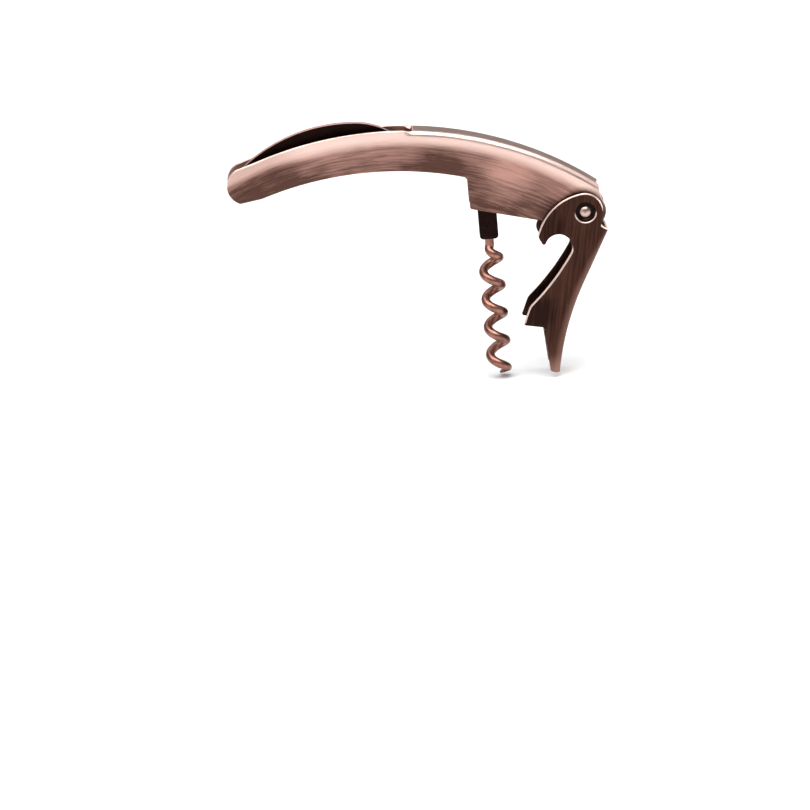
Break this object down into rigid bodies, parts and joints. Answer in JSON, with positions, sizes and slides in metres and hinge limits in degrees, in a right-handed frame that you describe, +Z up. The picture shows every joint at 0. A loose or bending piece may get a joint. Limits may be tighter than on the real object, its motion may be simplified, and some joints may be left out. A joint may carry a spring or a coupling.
{
  "type": "lever corkscrew",
  "caption": "Folding single-lever corkscrew with a curved sheet-metal handle, hinged boot lever with crown-cap claw, pivoting wire worm and folding serrated foil knife.",
  "frame": {"origin": "centre of the worm hinge, on the worm's axis", "axes": "+Z up the worm's axis when it is down, away from its point; +X towards the lever hinge; +Y across the handle, away from the near side"},
  "size_m": [0.1139, 0.0132, 0.0836],
  "materials": {
    "bright_copper": "brushed antique copper plate, worn bright",
    "brown_copper": "brushed antique copper plate, darker",
    "dark_copper": "blackened copper plate",
    "rivet_copper": "polished dome",
    "worm_copper": "dark copper-plated wire",
    "pin_steel": "plated steel pin",
    "washer_brass": "plain",
    "spring_steel": "dark spring steel"
  },
  "bodies": {
    "handle": {"handle_channel": "bright_copper", "lever_rivet": "rivet_copper", "lever_bush": "pin_steel", "pivot_collar_near": "dark_copper", "pivot_collar_far": "dark_copper", "lever_washer_near": "washer_brass", "lever_washer_far": "washer_brass", "worm_rivet": "pin_steel", "worm_washer_near": "washer_brass", "worm_washer_far": "washer_brass", "knife_rivet": "pin_steel", "knife_spacer_near": "washer_brass", "knife_spacer_far": "washer_brass", "back_spring": "spring_steel", "spring_pin": "pin_steel"},
    "lever": {"boot_lever": "brown_copper"},
    "worm": {"worm_carrier": "dark_copper", "worm": "worm_copper", "worm_cross_pin": "pin_steel"},
    "knife": {"knife_blade": "dark_copper"}
  },
  "joints": [
    {"name": "lever_hinge", "type": "hinge", "parent": "handle", "child": "lever", "pos_m": [0.0295, 0, -0.0073], "axis": [0, 1, 0], "range_deg": [-70, 12]},
    {"name": "worm_hinge", "type": "hinge", "parent": "handle", "child": "worm", "pos_m": [0, 0, 0], "axis": [0, 1, 0], "range_deg": [-4, 91]},
    {"name": "knife_hinge", "type": "hinge", "parent": "handle", "child": "knife", "pos_m": [-0.072, 0, 0.0098], "axis": [0, -1, 0], "range_deg": [0, 175]}
  ]
}
